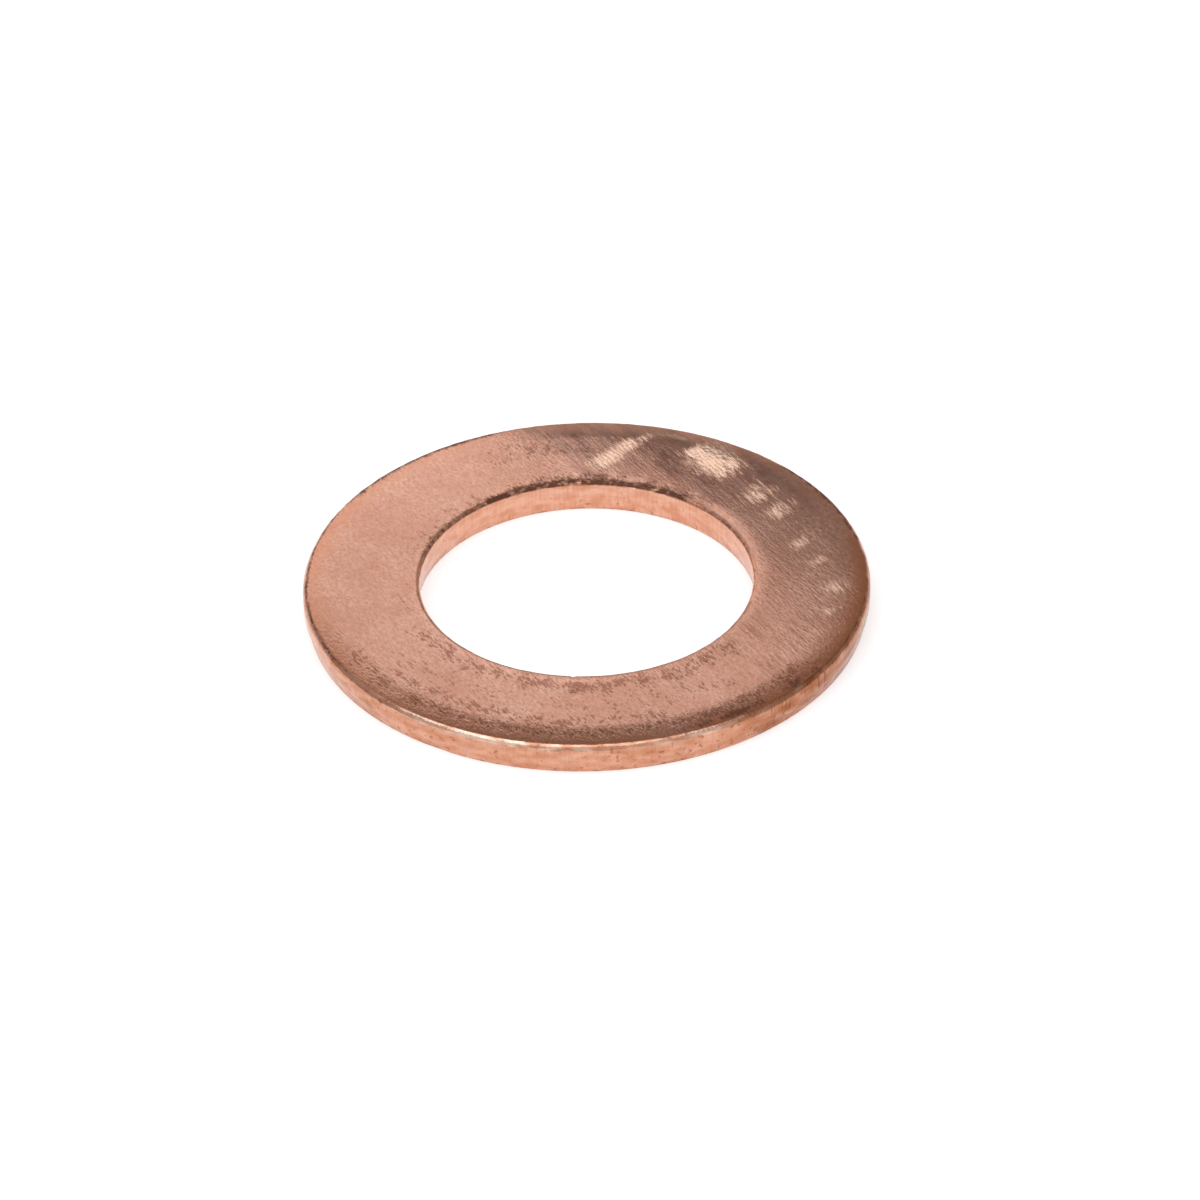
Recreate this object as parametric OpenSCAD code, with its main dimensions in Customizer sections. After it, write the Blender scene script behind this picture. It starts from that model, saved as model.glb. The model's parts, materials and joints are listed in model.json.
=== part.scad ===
// Copper crush washer: a flat sealing ring blanked from soft copper sheet in one stroke of a die.
// The stroke rolls both upper edges over, leaves a burnished land below them on the outer wall and
// in the bore, and tears the rest, so that the section narrows towards the lower face.
// Millimetres, +Z up along the bore, origin at the middle of the lower face.

/* [Ring] */
// Outside diameter over the burnished land
outer_d = 24; // [22:0.1:32]
// Bore diameter over the burnished land, with room for a 14 mm thread
bore_d = 14.1; // [10:0.1:15.5]
// Thickness between the two sealing faces
thickness = 1.5; // [1.4:0.05:3]

/* [Rolled outer edge] */
// Width of the upper face that rolls over towards the outer wall
outer_roll_w = 1.5; // [1:0.05:2]
// Radius of the roll-over's long curve
outer_roll_r = 8; // [7:0.25:14]
// Radius of the nose where the curve turns down into the wall
outer_nose_r = 0.22; // [0.1:0.02:0.3]

/* [Rolled bore edge] */
// Width of the upper face that rolls over towards the bore
bore_roll_w = 0.75; // [0.4:0.05:1]
// Radius of the roll-over's long curve
bore_roll_r = 6; // [3:0.25:8]
// Radius of the nose where the curve turns down into the bore
bore_nose_r = 0.14; // [0.06:0.02:0.2]

/* [Sheared walls] */
// Height of the burnished land on the outer wall
outer_land_h = 0.5; // [0.2:0.05:0.6]
// How far the torn part of the outer wall draws in at the lower face
outer_taper = 0.16; // [0.05:0.01:0.25]
// Height of the burnished land in the bore
bore_land_h = 0.6; // [0.2:0.05:0.7]
// How far the torn part of the bore opens out at the lower face
bore_taper = 0.12; // [0.05:0.01:0.2]
// Width of the break along both lower edges
edge_break = 0.05; // [0.02:0.01:0.08]

/* [Nick in the bore's upper edge] */
// Direction of the nick, in degrees from +X
nick_at = 265; // [0:1:359]
// Width of the nick along the edge
nick_w = 0.24; // [0.1:0.02:0.3]
// Depth of the nick into the ring at the upper face
nick_depth = 0.2; // [0.08:0.01:0.25]
// Height over which the nick runs out down the bore
nick_h = 0.5; // [0.3:0.05:0.6]

/* [Torn flat low on the outer wall] */
// Direction of the flat's deep end, in degrees from +X
tear_at = 240.5; // [0:0.5:359]
// Length of the flat, which runs clockwise from its deep end
tear_run = 1.8; // [1:0.1:2.5]
// Depth of the flat at its deep end
tear_depth = 0.06; // [0.03:0.01:0.1]
// Height over which the flat runs out up the wall
tear_h = 0.5; // [0.3:0.05:0.6]

/* [Hidden] */
$fn = 180;
COPPER = "#CA9985";

outer_r = outer_d / 2;
bore_r = bore_d / 2;
flat_from_r = bore_r + bore_roll_w;
flat_to_r = outer_r - outer_roll_w;

// Cutters start this far clear of the ring
clear = 1;

// The nose stands this far proud of the long curve, so that the two cross at one clear point
nose_proud = 0.0002;

// Fall from the upper face to the middle of the nose, which lies just inside the long curve
function nose_drop(roll_w, roll_r, nose_r) =
    roll_r - sqrt(pow(roll_r - nose_r + nose_proud, 2) - pow(roll_w - nose_r, 2));

// Half section of one edge, from the flat upper face at x = 0 out to its wall at x = roll_w
module edge_section(roll_w, roll_r, nose_r, land_h, taper) {
    drop = nose_drop(roll_w, roll_r, nose_r);
    nose_z = thickness - drop;
    touch_x = roll_r * (roll_w - nose_r) / (roll_r - nose_r);

    // Long curve of the roll-over, level with the upper face where it starts, then the nose
    intersection() {
        translate([0, thickness - roll_r])
            circle(roll_r);
        union() {
            translate([0, nose_z])
                square([touch_x, drop + clear]);
            intersection() {
                translate([touch_x, nose_z])
                    square([roll_w - touch_x + clear, drop + clear]);
                translate([roll_w - nose_r, nose_z])
                    circle(nose_r);
            }
        }
    }

    // Burnished land, torn wall below it and the broken lower edge
    polygon([
        [0, 0],
        [roll_w - taper - edge_break, 0],
        [roll_w - taper, edge_break],
        [roll_w, nose_z - land_h],
        [roll_w, nose_z],
        [0, nose_z]
    ]);
}

module ring_section() {
    translate([flat_from_r, 0])
        square([flat_to_r - flat_from_r, thickness]);
    translate([flat_to_r, 0])
        edge_section(outer_roll_w, outer_roll_r, outer_nose_r, outer_land_h, outer_taper);
    translate([flat_from_r, 0])
        mirror([1, 0])
            edge_section(bore_roll_w, bore_roll_r, bore_nose_r, bore_land_h, bore_taper);
}

// Round groove, deepest at the upper face and running out down the bore
module nick() {
    lean = atan(nick_depth / nick_h);
    rotate([0, 0, nick_at])
        translate([bore_r + nick_depth - nick_w / 2, 0, thickness])
            rotate([0, lean, 0])
                translate([0, 0, -thickness])
                    cylinder(d = nick_w, h = thickness + clear);
}

// Slanting cut across the lower edge that follows the torn wall and runs out above it
module torn_flat() {
    torn_h = thickness - nose_drop(outer_roll_w, outer_roll_r, outer_nose_r) - outer_land_h;
    foot_r = outer_r - outer_taper;
    run_angle = tear_run / foot_r * 180 / PI;
    shallow_x = foot_r * cos(run_angle);
    shallow_y = foot_r * sin(run_angle);
    turn = atan((foot_r - tear_depth - shallow_x) / shallow_y);
    lean = atan(outer_taper / torn_h + tear_depth / tear_h);
    rotate([0, 0, tear_at])
        translate([foot_r - tear_depth, 0, 0])
            rotate([0, 0, -turn])
                rotate([0, lean, 0])
                    translate([0, -tear_run - clear, -clear])
                        cube([clear, tear_run + clear, thickness + clear]);
}

module washer() {
    color(COPPER)
        difference() {
            rotate_extrude()
                ring_section();
            nick();
            torn_flat();
        }
}

washer();
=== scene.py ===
"""Copper crush washer: the finished look of the blanked ring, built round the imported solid.

Sizes are in millimetres until a mesh, a lamp or the camera is made; Blender itself works in metres.
"""

import json
import math

import bpy
import numpy as np
from mathutils import Matrix, Vector, noise


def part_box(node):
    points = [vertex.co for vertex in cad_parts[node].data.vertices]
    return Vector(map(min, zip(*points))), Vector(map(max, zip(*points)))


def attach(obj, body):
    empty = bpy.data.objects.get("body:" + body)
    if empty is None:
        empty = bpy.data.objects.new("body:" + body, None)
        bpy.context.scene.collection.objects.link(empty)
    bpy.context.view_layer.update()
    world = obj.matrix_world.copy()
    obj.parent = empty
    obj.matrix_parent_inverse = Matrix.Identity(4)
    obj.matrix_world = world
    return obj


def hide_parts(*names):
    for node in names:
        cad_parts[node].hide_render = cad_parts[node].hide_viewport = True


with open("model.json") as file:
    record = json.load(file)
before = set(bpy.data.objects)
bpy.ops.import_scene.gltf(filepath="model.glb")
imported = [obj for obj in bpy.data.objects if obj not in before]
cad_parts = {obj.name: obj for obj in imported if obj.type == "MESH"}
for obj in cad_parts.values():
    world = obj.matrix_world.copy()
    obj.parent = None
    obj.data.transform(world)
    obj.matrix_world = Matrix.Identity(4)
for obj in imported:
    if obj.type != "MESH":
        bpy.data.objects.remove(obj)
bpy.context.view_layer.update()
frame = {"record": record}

MM = 0.001

# Ring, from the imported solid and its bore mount
ring_low, ring_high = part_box("washer")
OUTER_R = min(ring_high.x, -ring_low.x) / MM
THICKNESS = (ring_high.z - ring_low.z) / MM
bore_mount = next(mount for mount in frame["record"]["mounts"] if mount["name"] == "bore")
BORE_R = bore_mount["dims"]["r_mm"]
BORE_LAND_H = bore_mount["dims"]["length_mm"]

# Section of the two blanked edges, as in the solid: a long curve, a nose, an upright land and a torn wall
OUTER_EDGE = {"roll_w": 1.5, "roll_r": 8.0, "nose_r": 0.22, "land_h": 0.5, "taper": 0.16}
BORE_EDGE = {"roll_w": 0.75, "roll_r": 6.0, "nose_r": 0.14, "land_h": BORE_LAND_H, "taper": 0.12}
EDGE_BREAK = 0.05

# Nick in the bore's upper edge and torn flat low on the outer wall, as in the solid
NICK = {"at": 265.0, "width": 0.24, "depth": 0.2, "height": 0.5}
TEAR = {"at": 240.5, "run": 1.8, "depth": 0.06, "height": 0.5}

# Mesh: steps round the ring, and steps along each stretch of the section
STEPS_ROUND = 960
STEPS_FLAT = 24
STEPS_LOWER_FACE = 8
OUTER_STEPS = {"roll": 14, "nose": 9, "land": 6, "torn": 9, "foot": 2}
BORE_STEPS = {"roll": 8, "nose": 6, "land": 6, "torn": 7, "foot": 2}
SHARP_EDGE = math.radians(40)

# Relief of the soft copper: width of the bumps and how deep they go
FACE_SAG = {"size": 5.0, "depth": 0.008}
NOSE_RAG = {"size": 0.45, "depth": 0.026}
TORN_PITS = {"size": 0.35, "depth": 0.03}

# Direction of the sheet's rolling lines, in degrees from +X
ROLLING_AT = -60.0

# Part of the upper face that rubbed smooth, and whose colour darkens there as painted shade where it
# mirrors
# the dark corner: where it starts across the rolling lines, how soft its edge is and how far it wanders,
# and the stretch along the lines over which it fades out
RUBBED_AND_SHADED = {"from": 3.65, "soft": 0.8, "wander": 0.5, "wander_size": 1.3, "fade_from": -9.0, "fade_to": 8.0}

# Scuffs on the upper face, whose facets are painted pale, partly as bare metal and partly as painted glint:
# middle x and y, length, width, direction of the length in degrees, strength.
# The higher the power, the more sudden their edge.
SCUFF_POWER = 3
SCUFFS = [
    (0.97, 8.76, 1.9, 1.15, 49.0, 1.2),
    (1.8, 9.65, 1.7, 0.85, 49.0, 1.0),
    (2.6, 10.4, 1.6, 0.6, 35.0, 0.85),
    (3.9, 10.55, 1.8, 0.45, -20.0, 0.75),
    (5.1, 9.25, 1.2, 1.6, -52.0, 1.6),
    (5.65, 8.4, 2.5, 1.85, -52.0, 1.5),
    (6.4, 8.7, 2.6, 1.0, -52.0, 0.8),
    (5.9, 9.7, 1.8, 0.7, -45.0, 0.75),
    (4.75, 8.0, 1.8, 0.7, -52.0, 0.7),
    (7.4, 5.9, 1.7, 1.3, 49.0, 0.85),
    (8.3, 4.6, 1.7, 1.2, 49.0, 0.82),
    (9.1, 2.2, 1.5, 0.8, 49.0, 0.75),
    (9.8, 0.7, 1.0, 0.6, 49.0, 0.8),
    (10.5, -1.2, 1.6, 1.0, 49.0, 0.8),
    (10.15, -2.9, 1.4, 0.6, 49.0, 0.75),
]

# Patches of other wear and of painted light: the arc in degrees, which may run on past a full turn, the
# radius of its middle, its width and its strength. The face is speckled with dull flecks, grimed by its
# edges, browned and knocked rough where it rolls over, and lined along the rolling; the grime also paints
# shade on the bore's back edge, on dark bands of the face and along the rim. The outer nose carries a
# painted highlight, and the outer wall is stained, the stains also painting shade on its right and front
# left.
ARC_SOFT = 12.0
PATCHES = {
    "speckled": [
        (205.0, 320.0, 7.9, 1.6, 1.0),
        (210.0, 310.0, 9.4, 2.4, 0.72),
        (205.0, 325.0, 11.05, 1.0, 1.2),
        (215.0, 290.0, 7.9, 1.3, 1.2),
        (218.0, 290.0, 10.3, 1.1, 1.1),
        (140.0, 200.0, 7.9, 1.2, 0.6),
        (60.0, 165.0, 7.6, 1.0, 0.8),
        (84.0, 116.0, 9.8, 2.4, 1.0),
    ],
    "grimed_and_shaded": [
        (50.0, 130.0, BORE_R, 0.92, 0.83),
        (40.0, 108.0, 7.5, 1.2, 0.42),
        (10.0, 50.0, BORE_R, 0.4, 0.6),
        (120.0, 168.0, BORE_R, 0.82, 0.56),
        (200.0, 345.0, BORE_R, 0.4, 0.65),
        (280.0, 330.0, 11.6, 0.75, 0.64),
        (10.0, 45.0, OUTER_R, 0.85, 0.9),
        (45.0, 105.0, OUTER_R, 0.5, 0.7),
        (105.0, 150.0, OUTER_R, 0.85, 0.9),
        (150.0, 215.0, OUTER_R, 0.4, 1.3),
    ],
    "browned": [
        (200.0, 290.0, OUTER_R, 1.6, 0.55),
        (290.0, 375.0, OUTER_R, 1.6, 1.0),
        (15.0, 200.0, OUTER_R, 1.6, 0.45),
    ],
    "knocked": [
        (198.0, 325.0, 11.3, 1.2, 1.0),
        (320.0, 390.0, 11.3, 1.2, 0.6),
    ],
    "lined": [
        (285.0, 335.0, 7.9, 1.4, 1.0),
        (310.0, 345.0, 9.9, 1.4, 0.8),
    ],
    "burnished": [
        (228.0, 272.0, OUTER_R, 1.0, 0.85),
        (272.0, 304.0, OUTER_R, 1.0, 0.65),
    ],
    "stained_and_shaded": [
        (-20.0, 380.0, OUTER_R, 1.0, 0.22),
        (302.0, 368.0, OUTER_R, 1.0, 1.0),
        (280.0, 292.0, OUTER_R, 1.0, 0.45),
        (205.0, 226.0, OUTER_R, 1.0, 0.4),
    ],
}

# Grime, which in places is painted shade, sits on the upper face and runs out down the walls between two
# depths, and painted shade lines the lower edges
GRIME_AND_SHADE_FULL, GRIME_AND_SHADE_END = 0.12, 0.2
FOOT_SHADE = 0.5

# Dents in the upper face: middle x and y, width, depth
DENTS = [
    (-0.5, -8.45, 0.45, 0.022),
    (3.6, -8.6, 0.35, 0.012),
    (-7.9, -1.25, 0.5, 0.015),
    (-9.05, 0.85, 0.5, 0.012),
    (-6.2, -6.0, 0.5, 0.012),
    (-10.2, -3.0, 0.5, 0.012),
]


def edge_line(edge, steps):
    """One edge from the end of the flat (x = 0) over its nose and down to its foot.

    Each row is x, z, the stretch that it belongs to and the share of that stretch that lies behind it.
    """
    reach_x, reach_r = edge["roll_w"] - edge["nose_r"], edge["roll_r"] - edge["nose_r"]
    lean = math.asin(reach_x / reach_r)
    nose_z = THICKNESS - edge["roll_r"] + reach_r * math.cos(lean)
    land_z = nose_z - edge["land_h"]
    foot_x = edge["roll_w"] - edge["taper"]
    line = []
    for share in np.arange(steps["roll"]) / steps["roll"]:
        fall = edge["roll_r"] * (1 - math.cos(lean * share))
        line.append((edge["roll_r"] * math.sin(lean * share), THICKNESS - fall, "roll", share))
    for share in np.arange(steps["nose"]) / steps["nose"]:
        tilt = lean + (math.pi / 2 - lean) * share
        rise = edge["nose_r"] * math.cos(tilt)
        line.append((reach_x + edge["nose_r"] * math.sin(tilt), nose_z + rise, "nose", share))
    for share in np.arange(steps["land"]) / steps["land"]:
        line.append((edge["roll_w"], nose_z - edge["land_h"] * share, "land", share))
    for share in np.arange(steps["torn"]) / steps["torn"]:
        height = land_z + (EDGE_BREAK - land_z) * share
        line.append((edge["roll_w"] - edge["taper"] * share, height, "torn", share))
    for share in np.arange(steps["foot"]) / steps["foot"]:
        line.append((foot_x - EDGE_BREAK * share, EDGE_BREAK * (1 - share), "foot", share))
    return line


def ring_section():
    """The section as rows like an edge's, with radii for x: up the bore, over the face and back below."""
    flat_from, flat_to = BORE_R + BORE_EDGE["roll_w"], OUTER_R - OUTER_EDGE["roll_w"]
    bore_foot = BORE_R + BORE_EDGE["taper"] + EDGE_BREAK
    outer_foot = OUTER_R - OUTER_EDGE["taper"] - EDGE_BREAK
    rows = [(bore_foot, 0.0, "lower", 0.0)]
    for x, z, stretch, share in reversed(edge_line(BORE_EDGE, BORE_STEPS)):
        rows.append((flat_from - x, z, stretch, share))
    for share in np.arange(1, STEPS_FLAT) / STEPS_FLAT:
        rows.append((flat_from + (flat_to - flat_from) * share, THICKNESS, "flat", share))
    for x, z, stretch, share in edge_line(OUTER_EDGE, OUTER_STEPS):
        rows.append((flat_to + x, z, stretch, share))
    for share in np.arange(STEPS_LOWER_FACE) / STEPS_LOWER_FACE:
        rows.append((outer_foot + (bore_foot - outer_foot) * share, 0.0, "lower", share))
    return rows


def bumps(points, size):
    """Smooth noise from -1 to 1 at each point, with bumps of about the given size."""
    values = [noise.noise(point) for point in (points / size).reshape(-1, 3).tolist()]
    return np.array(values).reshape(points.shape[:-1])


def ease(start, end, value):
    """0 before start, 1 after end, and a smooth rise between them."""
    share = np.clip((value - start) / (end - start), 0, 1)
    return share * share * (3 - 2 * share)


def turned(x, y, degrees):
    """Distance along and across a line that runs in the given direction."""
    along_x, along_y = math.cos(math.radians(degrees)), math.sin(math.radians(degrees))
    return x * along_x + y * along_y, y * along_x - x * along_y


def cut_nick(r, z, angle):
    """Radius of the bore where the round nick, which is deepest at the upper face, has cut into it."""
    half = NICK["width"] / 2
    off = (angle - math.radians(NICK["at"])) * BORE_R
    middle = BORE_R + NICK["depth"] - half - (THICKNESS - z) * NICK["depth"] / NICK["height"]
    groove = middle + np.sqrt(np.clip(half ** 2 - off ** 2, 0, None))
    return np.where((np.abs(off) < half) & (r < groove), groove, r)


def cut_tear(r, z, angle):
    """Radius of the outer wall where the slanting tear across its lower edge has cut into it."""
    torn_h = next(row_z for _, row_z, stretch, _ in edge_line(OUTER_EDGE, OUTER_STEPS) if stretch == "torn")
    foot_r = OUTER_R - OUTER_EDGE["taper"]
    run = TEAR["run"] / foot_r
    turn = math.atan((foot_r - TEAR["depth"] - foot_r * math.cos(run)) / (foot_r * math.sin(run)))
    lean = math.atan(OUTER_EDGE["taper"] / torn_h + TEAR["depth"] / TEAR["height"])
    off = angle - math.radians(TEAR["at"])
    facing = math.cos(lean) * (math.cos(turn) * np.cos(off) - math.sin(turn) * np.sin(off))
    reach = (foot_r - TEAR["depth"]) * math.cos(turn) * math.cos(lean) + math.sin(lean) * z
    return np.where((off < 0) & (off > -2 * run), np.minimum(r, reach / facing), r)


def scuff_strength(x, y):
    """How scuffed the upper face is: 0 where it is untouched, a scuff's own strength in its middle."""
    strength = np.zeros_like(x)
    for mid_x, mid_y, length, width, turn, amount in SCUFFS:
        along, across = turned(x - mid_x, y - mid_y, turn)
        spread = np.abs(2 * along / length) ** SCUFF_POWER + np.abs(2 * across / width) ** SCUFF_POWER
        strength = np.maximum(strength, amount * np.exp(-spread))
    return strength


def rub_and_shade_strength(points):
    """How smooth the upper face has rubbed, and how far its colour darkens as painted shade, from 0 to 1.
    """
    along, across = turned(points[..., 0], points[..., 1], ROLLING_AT)
    edge = across + RUBBED_AND_SHADED["wander"] * bumps(points, RUBBED_AND_SHADED["wander_size"])
    rubbed_and_shaded = ease(RUBBED_AND_SHADED["from"] - RUBBED_AND_SHADED["soft"] / 2, RUBBED_AND_SHADED["from"] + RUBBED_AND_SHADED["soft"] / 2, edge)
    return rubbed_and_shaded * (1 - ease(RUBBED_AND_SHADED["fade_from"], RUBBED_AND_SHADED["fade_to"], along))


def patch_strength(r, angle, patches):
    """Strength of a kind of wear or painted light in patches round the ring: that of the strongest patch at
    each point.
    """
    strength = np.zeros_like(r)
    for start, end, middle, width, amount in patches:
        off = np.abs((np.degrees(angle) - (start + end) / 2 + 180) % 360 - 180)
        arc = 1 - ease((end - start - ARC_SOFT) / 2, (end - start + ARC_SOFT) / 2, off)
        strength = np.maximum(strength, amount * arc * np.exp(-(2 * (r - middle) / width) ** 2))
    return strength


def face_fall(points):
    """How far the upper face lies below its full height."""
    x, y = points[..., 0], points[..., 1]
    fall = FACE_SAG["depth"] * (1 + bumps(points, FACE_SAG["size"]))
    for mid_x, mid_y, width, depth in DENTS:
        fall += depth * np.exp(-((x - mid_x) ** 2 + (y - mid_y) ** 2) / (width / 2) ** 2)
    return fall


def build_washer():
    """The ring as one closed mesh, with its relief in its shape and its wear and painted light as values on
    its points.
    """
    rows = ring_section()
    stretch = np.array([row[2] for row in rows])[:, None]
    share = np.array([row[3] for row in rows])[:, None]
    angle = np.linspace(0, 2 * math.pi, STEPS_ROUND, endpoint=False)[None, :]
    r = np.array([row[0] for row in rows])[:, None] + 0 * angle
    z = np.array([row[1] for row in rows])[:, None] + 0 * angle
    plain = np.stack([r * np.cos(angle), r * np.sin(angle), z], -1)
    outer = r > (OUTER_R + BORE_R) / 2
    inward = np.where(outer, -1, 1)
    upper = np.isin(stretch, ("flat", "roll", "nose"))

    # The noses are ragged in their middle, and run smoothly into the curve above them and the land below
    z = z - upper * face_fall(plain)
    ragged = (stretch == "nose") * 4 * share * (1 - share) * NOSE_RAG["depth"]
    ragged = ragged * (1 + bumps(plain, NOSE_RAG["size"])) / 2
    r = r + inward * ragged
    z = z - ragged
    r = r + inward * (stretch == "torn") * TORN_PITS["depth"] * np.abs(bumps(plain, TORN_PITS["size"]))
    r = np.where(outer, cut_tear(r, z, angle), cut_nick(r, z, angle))

    points = np.stack([r * np.cos(angle), r * np.sin(angle), z], -1) * MM
    here = np.arange(r.size).reshape(r.shape)
    above = np.roll(here, -1, 0)
    faces = np.stack([here, np.roll(here, -1, 1), np.roll(above, -1, 1), above], -1)
    mesh = bpy.data.meshes.new("washer_ring")
    mesh.from_pydata(points.reshape(-1, 3).tolist(), [], faces.reshape(-1, 4).tolist())
    mesh.update()
    mesh.shade_smooth()
    mesh.set_sharp_from_angle(angle=SHARP_EDGE)
    sheared = np.repeat(np.isin(stretch, ("nose", "land", "torn", "foot")), STEPS_ROUND)
    mesh.polygons.foreach_set("material_index", sheared.astype(np.int32))

    wear_and_painted_light = {name: patch_strength(r, angle, patches) for name, patches in PATCHES.items()}
    # Grime and painted shade fade out down the walls and line the foot; the painted highlight keeps to the
    # nose
    wear_and_painted_light["grimed_and_shaded"] = ease(THICKNESS - GRIME_AND_SHADE_END, THICKNESS - GRIME_AND_SHADE_FULL, z) * wear_and_painted_light["grimed_and_shaded"]
    wear_and_painted_light["grimed_and_shaded"] = np.maximum(wear_and_painted_light["grimed_and_shaded"], FOOT_SHADE * (stretch == "foot"))
    wear_and_painted_light["burnished"] = (stretch == "nose") * wear_and_painted_light["burnished"]
    wear_and_painted_light["scuffed"] = upper * scuff_strength(plain[..., 0], plain[..., 1])
    wear_and_painted_light["rubbed_and_shaded"] = upper * rub_and_shade_strength(plain)
    for name, strength in wear_and_painted_light.items():
        values = mesh.attributes.new(name, "FLOAT", "POINT").data
        values.foreach_set("value", strength.astype(np.float32).ravel())
    ring = bpy.data.objects.new("washer_ring", mesh)
    bpy.context.scene.collection.objects.link(ring)
    return ring


def linear(hex_colour):
    """sRGB hex to the linear colour that Blender's sockets take."""
    parts = [int(hex_colour[i:i + 2], 16) / 255 for i in (1, 3, 5)]
    return tuple(c / 12.92 if c <= 0.04045 else ((c + 0.055) / 1.055) ** 2.4 for c in parts) + (1.0,)


def add_node(tree, kind, values=None, links=None, **settings):
    """Adds one node with its settings, the values of its sockets and the sockets that feed it."""
    node = tree.nodes.new(kind)
    for name, value in settings.items():
        setattr(node, name, value)
    for name, value in (values or {}).items():
        node.inputs[name].default_value = value
    for name, socket in (links or {}).items():
        tree.links.new(socket, node.inputs[name])
    return node


def new_material(name):
    """An empty material and its node tree."""
    material = bpy.data.materials.new(name)
    material.use_nodes = True
    material.node_tree.nodes.clear()
    return material, material.node_tree


def millimetres(tree):
    """Place on the ring, in millimetres."""
    place = add_node(tree, "ShaderNodeTexCoord").outputs["Object"]
    return add_node(tree, "ShaderNodeMapping", {"Scale": [1 / MM] * 3}, {"Vector": place}).outputs[0]


def drawn_marks(tree, place, sizes, detail):
    """Marks in the copper of about the given sizes along the three axes of the place, from 0 to 1."""
    drawn = add_node(tree, "ShaderNodeMapping", {"Scale": [1 / size for size in sizes]}, {"Vector": place})
    marks = add_node(tree, "ShaderNodeTexNoise", {"Scale": 1.0, "Detail": detail},
                     {"Vector": drawn.outputs[0]})
    return marks.outputs[0]


# Sockets of the Mix node when it mixes colours
MIX_A, MIX_B, MIXED = 6, 7, 2

# Grime over the copper, which in places is painted shade: what is left of its metal shine, and how rough it
# is
GRIME_AND_SHADE_METALLIC, GRIME_AND_SHADE_ROUGHNESS = 0.5, 0.5


def finish_copper(tree, colour, relief, grime_and_shade, roughness):
    """Ends a copper material, with its relief in millimetres and the roughness of the clean metal."""
    bump = add_node(tree, "ShaderNodeBump", {"Distance": MM}, {"Height": relief}).outputs[0]
    metal = add_node(tree, "ShaderNodeMapRange", {"To Min": 1.0, "To Max": GRIME_AND_SHADE_METALLIC},
                     {"Value": grime_and_shade}).outputs[0]
    satin = add_node(tree, "ShaderNodeMapRange", {"To Min": roughness, "To Max": GRIME_AND_SHADE_ROUGHNESS},
                     {"Value": grime_and_shade}).outputs[0]
    shader = add_node(tree, "ShaderNodeBsdfPrincipled",
                      links={"Base Color": colour, "Metallic": metal, "Normal": bump, "Roughness": satin})
    add_node(tree, "ShaderNodeOutputMaterial", links={"Surface": shader.outputs["BSDF"]})


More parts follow.
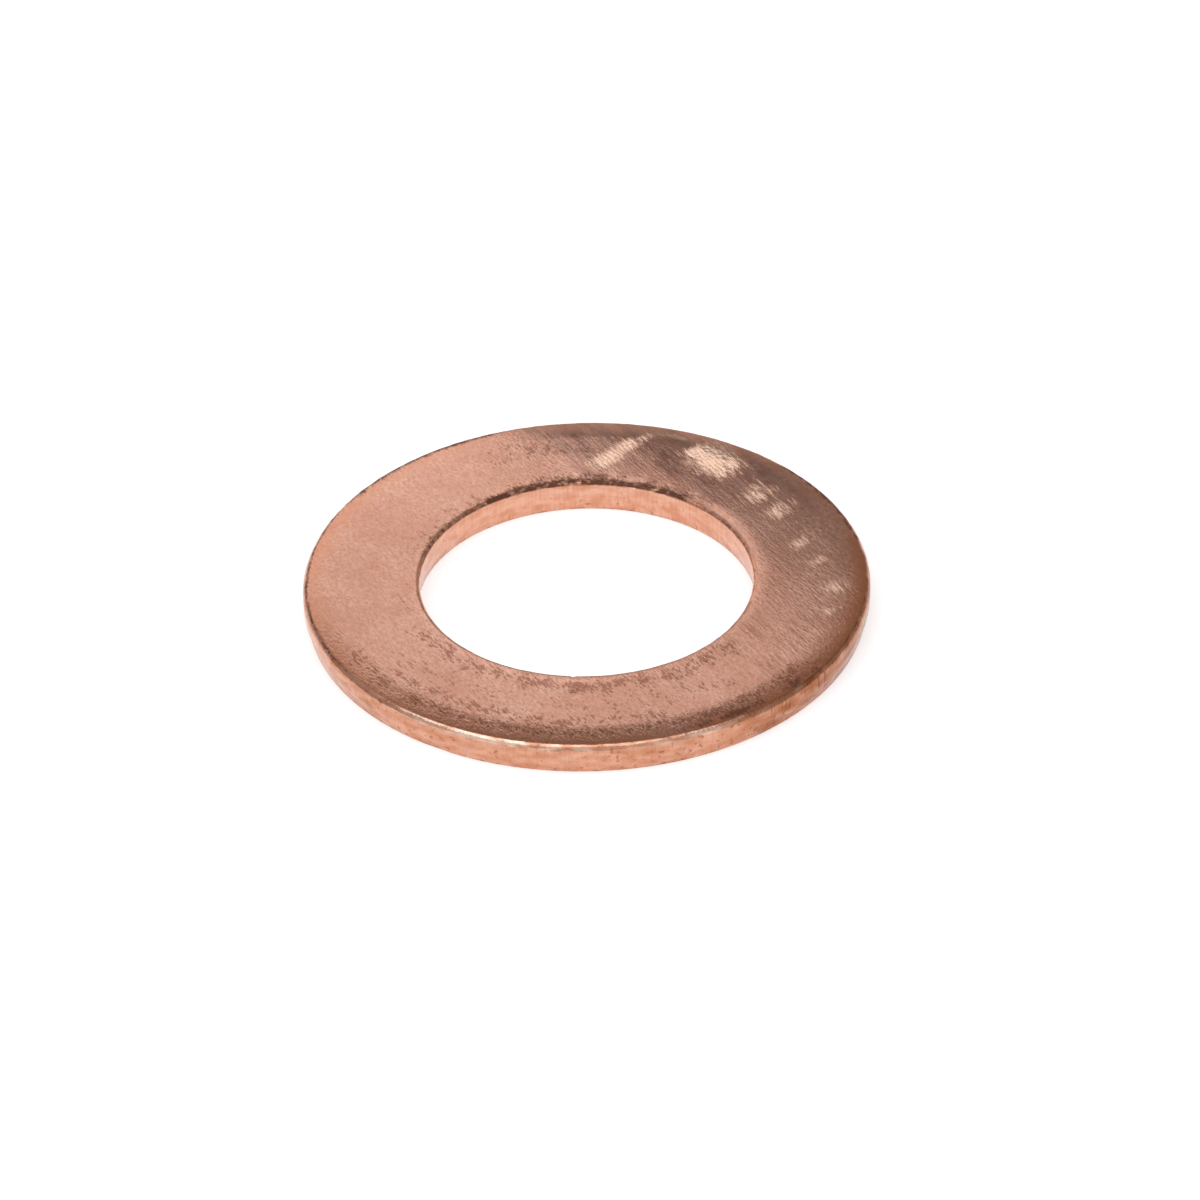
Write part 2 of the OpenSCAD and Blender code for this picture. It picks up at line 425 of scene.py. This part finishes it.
def rolled_copper():
    """Soft copper sheet, rolled, blanked and tumbled.

    The rolls leave fine lines, and tumbling leaves a satin grain that breaks up what the face mirrors.
    Handling dulls it in brown flecks, and rubbing smooths it and darkens its colour, partly as painted
    shade.
    Hard edges that were dragged over it turn up rows of bright facets, painted pale partly as bare metal
    and partly as painted glint.
    """
    # Patterns: along and across the rolling lines, and deep. The real grain, flecks and lines are finer
    # than a pixel, so they are drawn coarser here.
    grain_length, grain_width, grain_depth = 0.2, 0.09, 0.0075
    rubbed_depth, knocked_depth = grain_depth / 3, grain_depth * 2
    fleck_length, fleck_width, fleck_depth = 0.22, 0.09, 0.005
    line_length, line_width, line_depth = 1.4, 0.14, 0.004
    stroke_length, stroke_width = 0.65, 0.16
    smear_length, smear_width = 2.2, 0.5
    streak_height = 1.0
    facet_pitch, facet_wander, facet_depth = 0.2, 2.0, 0.017
    cluster_size, patina_size = 0.6, 2.5
    streak_detail, cluster_detail, patina_detail = 3.0, 3.0, 5.0
    roughness = 0.12

    # How each noise or kind of wear becomes a strength
    scuff_share, cluster_share = 0.5, 0.5
    scuff_range = {"From Min": 0.62, "From Max": 1.15}
    ridge_range = {"From Min": 0.5, "From Max": 0.85, "To Min": 1.0, "To Max": 0.3}
    spared_range = {"To Min": 1.0, "To Max": 0.4}
    crowding_range = {"From Max": 1.3, "To Min": -1.06, "To Max": -0.66}
    dull_range = {"From Max": 0.12, "To Max": 0.6}
    tone_range = {"From Min": 0.3, "From Max": 0.7}
    mottle_range = {"From Min": 0.4, "From Max": 0.6}
    patina_range = {"From Min": 0.42, "From Max": 0.62, "To Max": 0.42}
    smear_range = {"From Min": 0.35, "From Max": 0.65, "To Max": 0.9}
    tick_range = {"From Min": 0.5, "From Max": 0.62, "To Max": 0.45}
    ragged_range = {"From Min": 0.5, "From Max": 1.5, "To Min": 0.25, "To Max": 1.75}
    grime_and_shade_range = {"From Min": 0.25, "From Max": 0.8}

    bright_grain, dark_grain, patina_tone = "#F5C0AA", "#D99A81", "#D5957C"
    pale_rub_shade, dark_rub_shade, browned_edge = "#C09484", "#9F7162", "#E08E62"
    fleck_brown, grime_and_shade_brown, bare_facet_and_glint = "#8F5237", "#6E402C", "#FFD8BE"

    material, tree = new_material("rolled_copper_sheet")
    mm = millimetres(tree)
    rolled = add_node(tree, "ShaderNodeMapping", {"Rotation": (0, 0, math.radians(-ROLLING_AT))},
                      {"Vector": mm}).outputs[0]
    grain, flecks, lines, strokes, smears = [
        drawn_marks(tree, rolled, (length, width, streak_height), streak_detail)
        for length, width in ((grain_length, grain_width), (fleck_length, fleck_width),
                              (line_length, line_width), (stroke_length, stroke_width),
                              (smear_length, smear_width))]
    clusters = add_node(tree, "ShaderNodeTexNoise", {"Scale": 1 / cluster_size, "Detail": cluster_detail},
                        {"Vector": mm}).outputs[0]
    patina = add_node(tree, "ShaderNodeTexNoise", {"Scale": 1 / patina_size, "Detail": patina_detail},
                      {"Vector": mm}).outputs[0]
    wear_and_painted_light = {name: add_node(tree, "ShaderNodeAttribute", attribute_name=name).outputs["Fac"]
            for name in ("browned", "grimed_and_shaded", "knocked", "lined", "rubbed_and_shaded", "scuffed", "speckled")}

    # Scuffs: broken patches of facets that rise across the rolling lines and drop back in steps, their
    # ridges painted pale, partly as bare metal and partly as painted glint
    across = add_node(tree, "ShaderNodeSeparateXYZ", links={0: rolled}).outputs["Y"]
    wander = add_node(tree, "ShaderNodeMath", {1: facet_wander}, {0: clusters},
                      operation="MULTIPLY").outputs[0]
    rows = add_node(tree, "ShaderNodeMath", {1: 1 / facet_pitch}, {0: across, 2: wander},
                    operation="MULTIPLY_ADD").outputs[0]
    facet = add_node(tree, "ShaderNodeMath", links={0: rows}, operation="FRACT").outputs[0]
    broken = add_node(tree, "ShaderNodeMath", {1: scuff_share}, {0: wear_and_painted_light["scuffed"], 2: strokes},
                      operation="MULTIPLY_ADD").outputs[0]
    scuff = add_node(tree, "ShaderNodeMapRange", scuff_range, {"Value": broken},
                     interpolation_type="SMOOTHSTEP").outputs[0]
    ridge = add_node(tree, "ShaderNodeMapRange", ridge_range, {"Value": facet}).outputs[0]
    ridge = add_node(tree, "ShaderNodeMath", links={0: ridge, 1: scuff}, operation="MULTIPLY").outputs[0]

    # Flecks: dull pits that crowd together where the face is most handled
    crowding = add_node(tree, "ShaderNodeMapRange", crowding_range, {"Value": wear_and_painted_light["speckled"]}).outputs[0]
    crowding = add_node(tree, "ShaderNodeMath", {1: cluster_share}, {0: clusters, 2: crowding},
                        operation="MULTIPLY_ADD").outputs[0]
    inside = add_node(tree, "ShaderNodeMath", links={0: flecks, 1: crowding}, operation="ADD").outputs[0]
    dull = add_node(tree, "ShaderNodeMapRange", dull_range, {"Value": inside}).outputs[0]

    # Relief in millimetres: the rolling lines, the grain, which rubbing wears down and knocks deepen, the
    # facets and the pits
    grain_left = add_node(tree, "ShaderNodeMapRange", {"To Min": grain_depth, "To Max": rubbed_depth},
                          {"Value": wear_and_painted_light["rubbed_and_shaded"]}).outputs[0]
    grain_left = add_node(tree, "ShaderNodeMath", {1: knocked_depth}, {0: wear_and_painted_light["knocked"], 2: grain_left},
                          operation="MULTIPLY_ADD").outputs[0]
    facet_left = add_node(tree, "ShaderNodeMath", {1: facet_depth}, {0: scuff},
                          operation="MULTIPLY").outputs[0]
    relief = add_node(tree, "ShaderNodeMath", {1: line_depth}, {0: lines}, operation="MULTIPLY").outputs[0]
    for pattern, depth in ((grain, grain_left), (facet, facet_left)):
        relief = add_node(tree, "ShaderNodeMath", links={0: pattern, 1: depth, 2: relief},
                          operation="MULTIPLY_ADD").outputs[0]
    relief = add_node(tree, "ShaderNodeMath", {1: -fleck_depth}, {0: dull, 2: relief},
                      operation="MULTIPLY_ADD").outputs[0]

    # Rubbed part: brown smears, partly painted shade, which spare the scuffs
    mottle = add_node(tree, "ShaderNodeMapRange", mottle_range, {"Value": clusters}).outputs[0]
    rub_shade_brown = add_node(tree, "ShaderNodeMix", {MIX_A: linear(pale_rub_shade), MIX_B: linear(dark_rub_shade)}, {0: mottle},
                     data_type="RGBA").outputs[MIXED]
    dim = add_node(tree, "ShaderNodeMapRange", smear_range, {"Value": smears}).outputs[0]
    spared = add_node(tree, "ShaderNodeMapRange", spared_range, {"Value": wear_and_painted_light["scuffed"]}).outputs[0]
    for limit in (wear_and_painted_light["rubbed_and_shaded"], spared):
        dim = add_node(tree, "ShaderNodeMath", links={0: dim, 1: limit}, operation="MULTIPLY").outputs[0]

    # Dark rolling lines, and grime with a ragged edge, which in places is painted shade
    ticks = add_node(tree, "ShaderNodeMapRange", tick_range, {"Value": lines}).outputs[0]
    ticks = add_node(tree, "ShaderNodeMath", links={0: ticks, 1: wear_and_painted_light["lined"]},
                     operation="MULTIPLY").outputs[0]
    ragged = add_node(tree, "ShaderNodeMath", links={0: grain, 1: clusters}, operation="ADD").outputs[0]
    ragged = add_node(tree, "ShaderNodeMapRange", ragged_range, {"Value": ragged}).outputs[0]
    grime_and_shade = add_node(tree, "ShaderNodeMath", links={0: wear_and_painted_light["grimed_and_shaded"], 1: ragged},
                     operation="MULTIPLY").outputs[0]
    grime_and_shade = add_node(tree, "ShaderNodeMapRange", grime_and_shade_range, {"Value": grime_and_shade},
                     interpolation_type="SMOOTHSTEP").outputs[0]

    # Colour: the grain, a patina in clouds, the rubbed part with its painted shade, and the other wear over
    # it, with painted glint on the scuff facets and painted shade in the grime
    tone = add_node(tree, "ShaderNodeMapRange", tone_range, {"Value": grain}).outputs[0]
    clouds = add_node(tree, "ShaderNodeMapRange", patina_range, {"Value": patina}).outputs[0]
    copper = add_node(tree, "ShaderNodeMix", {MIX_A: linear(bright_grain), MIX_B: linear(dark_grain)},
                      {0: tone}, data_type="RGBA").outputs[MIXED]
    copper = add_node(tree, "ShaderNodeMix", {MIX_B: linear(patina_tone)}, {0: clouds, MIX_A: copper},
                      data_type="RGBA").outputs[MIXED]
    copper = add_node(tree, "ShaderNodeMix", links={0: dim, MIX_A: copper, MIX_B: rub_shade_brown},
                      data_type="RGBA").outputs[MIXED]
    for strength, colour in ((wear_and_painted_light["browned"], browned_edge), (dull, fleck_brown), (ticks, fleck_brown),
                             (grime_and_shade, grime_and_shade_brown), (ridge, bare_facet_and_glint)):
        copper = add_node(tree, "ShaderNodeMix", {MIX_B: linear(colour)}, {0: strength, MIX_A: copper},
                          data_type="RGBA").outputs[MIXED]
    finish_copper(tree, copper, relief, grime_and_shade, roughness)
    return material


def sheared_copper():
    """Copper where the die cut it: a burnished land with upright drag lines, and torn metal below it.

    It is fresher than the faces, so it is a cleaner orange pink, with a painted highlight along the front
    of the outer nose. It is blotched and stained where it lay damp, the stains also painting shade on the
    right and front left of the outer wall.
    """
    # Patterns: round the ring, upright and deep. The real drag lines are finer than a pixel, so they are
    # drawn coarser here.
    drag_width, drag_length, drag_depth = 0.12, 1.2, 0.009
    blotch_length, blotch_height = 0.9, 0.35
    speck_size = 0.25
    drag_detail, blotch_detail, speck_detail = 2.0, 4.0, 3.0
    roughness = 0.22

    # How each noise or kind of wear becomes a strength
    drag_share, highlight_share = 0.5, 0.5
    tone_range = {"From Min": 0.6, "From Max": 0.9}
    stain_and_shade_range = {"From Min": 0.7, "From Max": 0.3, "To Min": 0.4, "To Max": 1.0}
    score_range = {"From Min": 0.56, "From Max": 0.68, "To Max": 0.7}
    spotted_range = {"From Max": 0.22, "To Max": 0.05}
    dull_range = {"From Min": 0.64, "From Max": 0.74, "To Max": 0.6}
    nose_highlight_range = {"From Min": 0.7, "From Max": 1.2}
    ragged_range = {"From Min": 0.25, "From Max": 0.75, "To Min": 0.4, "To Max": 1.6}
    grime_and_shade_range = {"From Min": 0.2, "From Max": 0.9}

    shaded_wall, fresh_wall, burnished_nose = "#D39375", "#E5AE95", "#FFE3D0"
    stain_and_shade_brown, score_brown, spot_brown, grime_and_shade_brown = "#A26039", "#7A4426", "#94552F", "#653926"

    material, tree = new_material("sheared_copper_edge")
    mm = millimetres(tree)
    drags = drawn_marks(tree, mm, (drag_width, drag_width, drag_length), drag_detail)
    blotches = drawn_marks(tree, mm, (blotch_length, blotch_length, blotch_height), blotch_detail)
    specks = add_node(tree, "ShaderNodeTexNoise", {"Scale": 1 / speck_size, "Detail": speck_detail},
                      {"Vector": mm}).outputs[0]
    wear_and_painted_light = {name: add_node(tree, "ShaderNodeAttribute", attribute_name=name).outputs["Fac"]
            for name in ("burnished", "grimed_and_shaded", "stained_and_shaded")}

    # Stains in blotches, which also paint shade on the right and front left of the wall, the drag lines
    # that hold them, and dull spots
    stain_and_shade = add_node(tree, "ShaderNodeMapRange", stain_and_shade_range, {"Value": blotches}).outputs[0]
    stain_and_shade = add_node(tree, "ShaderNodeMath", links={0: stain_and_shade, 1: wear_and_painted_light["stained_and_shaded"]},
                     operation="MULTIPLY").outputs[0]
    scores = add_node(tree, "ShaderNodeMapRange", score_range, {"Value": drags}).outputs[0]
    scores = add_node(tree, "ShaderNodeMath", links={0: scores, 1: wear_and_painted_light["stained_and_shaded"]},
                      operation="MULTIPLY").outputs[0]
    spotted = add_node(tree, "ShaderNodeMapRange", spotted_range, {"Value": wear_and_painted_light["stained_and_shaded"]}).outputs[0]
    spotted = add_node(tree, "ShaderNodeMath", links={0: specks, 1: spotted}, operation="ADD").outputs[0]
    dull = add_node(tree, "ShaderNodeMapRange", dull_range, {"Value": spotted}).outputs[0]

    # Painted highlight along the outer nose in broken lengths, and grime with a ragged edge, which in
    # places is painted shade
    nose_highlight = add_node(tree, "ShaderNodeMath", {1: highlight_share}, {0: wear_and_painted_light["burnished"], 2: blotches},
                      operation="MULTIPLY_ADD").outputs[0]
    nose_highlight = add_node(tree, "ShaderNodeMapRange", nose_highlight_range, {"Value": nose_highlight},
                      interpolation_type="SMOOTHSTEP").outputs[0]
    ragged = add_node(tree, "ShaderNodeMapRange", ragged_range, {"Value": specks}).outputs[0]
    grime_and_shade = add_node(tree, "ShaderNodeMath", links={0: wear_and_painted_light["grimed_and_shaded"], 1: ragged},
                     operation="MULTIPLY").outputs[0]
    grime_and_shade = add_node(tree, "ShaderNodeMapRange", grime_and_shade_range, {"Value": grime_and_shade},
                     interpolation_type="SMOOTHSTEP").outputs[0]

    # Colour: drag lines and blotches, and the wear over them, with painted shade in the stains and grime
    # and a painted highlight on the nose
    streaked = add_node(tree, "ShaderNodeMath", {1: drag_share}, {0: drags, 2: blotches},
                        operation="MULTIPLY_ADD").outputs[0]
    tone = add_node(tree, "ShaderNodeMapRange", tone_range, {"Value": streaked}).outputs[0]
    copper = add_node(tree, "ShaderNodeMix", {MIX_A: linear(shaded_wall), MIX_B: linear(fresh_wall)},
                      {0: tone}, data_type="RGBA").outputs[MIXED]
    for strength, colour in ((stain_and_shade, stain_and_shade_brown), (scores, score_brown), (dull, spot_brown),
                             (nose_highlight, burnished_nose), (grime_and_shade, grime_and_shade_brown)):
        copper = add_node(tree, "ShaderNodeMix", {MIX_B: linear(colour)}, {0: strength, MIX_A: copper},
                          data_type="RGBA").outputs[MIXED]
    relief = add_node(tree, "ShaderNodeMath", links={0: drags, 1: specks}, operation="ADD").outputs[0]
    relief = add_node(tree, "ShaderNodeMath", {1: drag_depth}, {0: relief}, operation="MULTIPLY").outputs[0]
    finish_copper(tree, copper, relief, grime_and_shade, roughness)
    return material


# Camera, fitted to the ring's outline in the picture; its clip distances are in metres
FRAME_PIXELS = 1200
SENSOR = 36.0
CAMERA_ELEVATION = math.radians(35.28)
CAMERA_ROLL = math.radians(1.205)
CAMERA_DISTANCE = 277.57
CAMERA_CLIP = (0.01, 10.0)
PIXELS_PER_MM = 23.586
ORIGIN_PIXEL = (587.06, 604.88)


def make_camera():
    data = bpy.data.cameras.new("camera")
    data.sensor_width = SENSOR
    data.lens = PIXELS_PER_MM * CAMERA_DISTANCE / FRAME_PIXELS * SENSOR
    data.clip_start, data.clip_end = CAMERA_CLIP
    forward = Vector((0, math.cos(CAMERA_ELEVATION), -math.sin(CAMERA_ELEVATION)))
    level_up = Vector((0, math.sin(CAMERA_ELEVATION), math.cos(CAMERA_ELEVATION)))
    level_right = Vector((1, 0, 0))
    right = math.cos(CAMERA_ROLL) * level_right - math.sin(CAMERA_ROLL) * level_up
    up = math.sin(CAMERA_ROLL) * level_right + math.cos(CAMERA_ROLL) * level_up
    off_right = (FRAME_PIXELS / 2 - ORIGIN_PIXEL[0]) / PIXELS_PER_MM
    off_up = (ORIGIN_PIXEL[1] - FRAME_PIXELS / 2) / PIXELS_PER_MM
    place = (right * off_right + up * off_up - forward * CAMERA_DISTANCE) * MM
    camera = bpy.data.objects.new("camera", data)
    camera.matrix_world = Matrix.Translation(place) @ Matrix((right, up, -forward)).transposed().to_4x4()
    bpy.context.scene.collection.objects.link(camera)
    bpy.context.scene.camera = camera


def overhead_softbox(place, aim, width, depth, radiance):
    """A soft lamp, in millimetres, that looks at aim and shows the given brightness to the ring."""
    data = bpy.data.lights.new("overhead_softbox", "AREA")
    data.shape = "RECTANGLE"
    data.size, data.size_y = width * MM, depth * MM
    data.energy = radiance * math.pi * data.size * data.size_y
    back = (Vector(place) - Vector(aim)).normalized()
    right = (Vector((1, 0, 0)) - back * back.x).normalized()
    facing = Matrix((right, back.cross(right), back)).transposed().to_4x4()
    lamp = bpy.data.objects.new("overhead_softbox", data)
    lamp.matrix_world = Matrix.Translation(Vector(place) * MM) @ facing
    lamp.visible_camera = False
    bpy.context.scene.collection.objects.link(lamp)


def stage_sheet(name, corners, material):
    """A flat sheet of the stage, from its corners in millimetres."""
    mesh = bpy.data.meshes.new(name)
    mesh.from_pydata([[c * MM for c in corner] for corner in corners], [], [range(len(corners))])
    mesh.materials.append(material)
    sheet = bpy.data.objects.new(name, mesh)
    bpy.context.scene.collection.objects.link(sheet)
    return sheet


# White floor just under the ring. It glows towards the camera and the metal, so that both see it white.
FLOOR_SIDE = 1200.0
FLOOR_DROP = 0.02
FLOOR_COLOUR = "#DCDCDC"
FLOOR_LIFT = 0.58


def white_floor():
    material, tree = new_material("white_floor")
    matte = add_node(tree, "ShaderNodeBsdfDiffuse", {"Color": linear(FLOOR_COLOUR)})
    path = add_node(tree, "ShaderNodeLightPath").outputs
    seen = path["Is Camera Ray"]
    for ray in ("Is Glossy Ray", "Is Transmission Ray"):
        seen = add_node(tree, "ShaderNodeMath", links={0: seen, 1: path[ray]},
                        operation="MAXIMUM").outputs[0]
    lift = add_node(tree, "ShaderNodeMath", {1: FLOOR_LIFT}, {0: seen}, operation="MULTIPLY").outputs[0]
    glow = add_node(tree, "ShaderNodeEmission", links={"Strength": lift})
    both = add_node(tree, "ShaderNodeAddShader", links={0: matte.outputs[0], 1: glow.outputs[0]})
    add_node(tree, "ShaderNodeOutputMaterial", links={"Surface": both.outputs[0]})
    return material


def make_floor():
    half = FLOOR_SIDE / 2
    corners = [(-half, -half), (half, -half), (half, half), (-half, half)]
    stage_sheet("floor", [(x, y, -FLOOR_DROP) for x, y in corners], white_floor())


# Bounce card behind the washer: its distance, its corners across and up the card, how bright it is below
# and above the band over which it changes, and the brighter spot in its middle, which is full up to the
# first distance and gone at the second
CARD_DISTANCE = 60.0
CARD_CORNERS = [(-8.0, -28.0), (-2.4, -7.0), (9.0, 0.0), (22.0, 13.0), (2.0, 16.0), (-14.0, 16.0),
                (-24.0, 9.0), (-60.0, 2.0), (-60.0, -28.0)]
CARD_BAND = (-7.0, 2.0)
CARD_LOW_RADIANCE, CARD_HIGH_RADIANCE = 0.95, 0.785
CARD_SPOT = (1.5, 5.0)
CARD_SPOT_RADIANCE = 0.32


def bounce_card():
    """A card that the upper face mirrors, out of the camera's sight and without a shadow."""
    facing = Vector((0, math.cos(CAMERA_ELEVATION), math.sin(CAMERA_ELEVATION)))
    up = Vector((0, -math.sin(CAMERA_ELEVATION), math.cos(CAMERA_ELEVATION)))
    middle = facing * CARD_DISTANCE
    corners = [middle + Vector((u, 0, 0)) + up * v for u, v in CARD_CORNERS]
    band_low, band_high = [(middle + up * v).z * MM for v in CARD_BAND]
    material, tree = new_material("bounce_card")
    place = add_node(tree, "ShaderNodeTexCoord").outputs["Object"]
    height = add_node(tree, "ShaderNodeSeparateXYZ", links={0: place}).outputs["Z"]
    level = add_node(tree, "ShaderNodeMapRange",
                     {"From Min": band_low, "From Max": band_high,
                      "To Min": CARD_LOW_RADIANCE, "To Max": CARD_HIGH_RADIANCE},
                     {"Value": height}, interpolation_type="SMOOTHSTEP").outputs[0]
    spot_gap = add_node(tree, "ShaderNodeVectorMath", {1: middle * MM}, {0: place},
                        operation="DISTANCE").outputs["Value"]
    spot = add_node(tree, "ShaderNodeMapRange",
                    {"From Min": CARD_SPOT[0] * MM, "From Max": CARD_SPOT[1] * MM,
                     "To Min": CARD_SPOT_RADIANCE, "To Max": 0.0},
                    {"Value": spot_gap}, interpolation_type="SMOOTHSTEP").outputs[0]
    level = add_node(tree, "ShaderNodeMath", links={0: level, 1: spot}, operation="ADD").outputs[0]
    glow = add_node(tree, "ShaderNodeEmission", links={"Strength": level})
    add_node(tree, "ShaderNodeOutputMaterial", links={"Surface": glow.outputs[0]})
    card = stage_sheet("bounce_card", corners, material)
    card.visible_camera = False
    card.visible_shadow = False


# Studio: an even level, a dark corner behind the washer and to the right, which the upper face mirrors, and
# a pale front. The corner has a direction and the cosines of the angles from it where it starts and is
# darkest. The front has the Y of the directions where its lift starts and is full.
STUDIO_LEVEL = 0.6
DARK_WAY = (0.272, 0.583, 0.766)
DARK_FROM, DARK_TO = math.cos(math.radians(38)), math.cos(math.radians(22))
DARK_LEVEL = 0.32
FRONT_FROM, FRONT_TO = -0.1, -0.7
FRONT_LIFT = 0.35


def make_studio():
    world = bpy.data.worlds.new("studio")
    world.use_nodes = True
    tree = world.node_tree
    tree.nodes.clear()
    way = add_node(tree, "ShaderNodeTexCoord").outputs["Generated"]
    near = add_node(tree, "ShaderNodeVectorMath", {1: DARK_WAY}, {0: way},
                    operation="DOT_PRODUCT").outputs["Value"]
    level = add_node(tree, "ShaderNodeMapRange",
                     {"From Min": DARK_FROM, "From Max": DARK_TO,
                      "To Min": STUDIO_LEVEL, "To Max": DARK_LEVEL},
                     {"Value": near}, interpolation_type="SMOOTHSTEP").outputs[0]
    toward = add_node(tree, "ShaderNodeSeparateXYZ", links={0: way}).outputs["Y"]
    lift = add_node(tree, "ShaderNodeMapRange",
                    {"From Min": FRONT_FROM, "From Max": FRONT_TO, "To Max": FRONT_LIFT},
                    {"Value": toward}, interpolation_type="SMOOTHSTEP").outputs[0]
    level = add_node(tree, "ShaderNodeMath", links={0: level, 1: lift}, operation="ADD").outputs[0]
    air = add_node(tree, "ShaderNodeBackground", links={"Strength": level})
    add_node(tree, "ShaderNodeOutputWorld", links={"Surface": air.outputs[0]})
    bpy.context.scene.world = world


ring = build_washer()
ring.data.materials.append(rolled_copper())
ring.data.materials.append(sheared_copper())
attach(ring, "root")
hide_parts("washer")

make_camera()
make_studio()
make_floor()
bounce_card()
overhead_softbox(place=(-40, -60, 280), aim=(0, -20, 0), width=360, depth=230, radiance=1.15)
bpy.context.scene.view_settings.view_transform = "Standard"
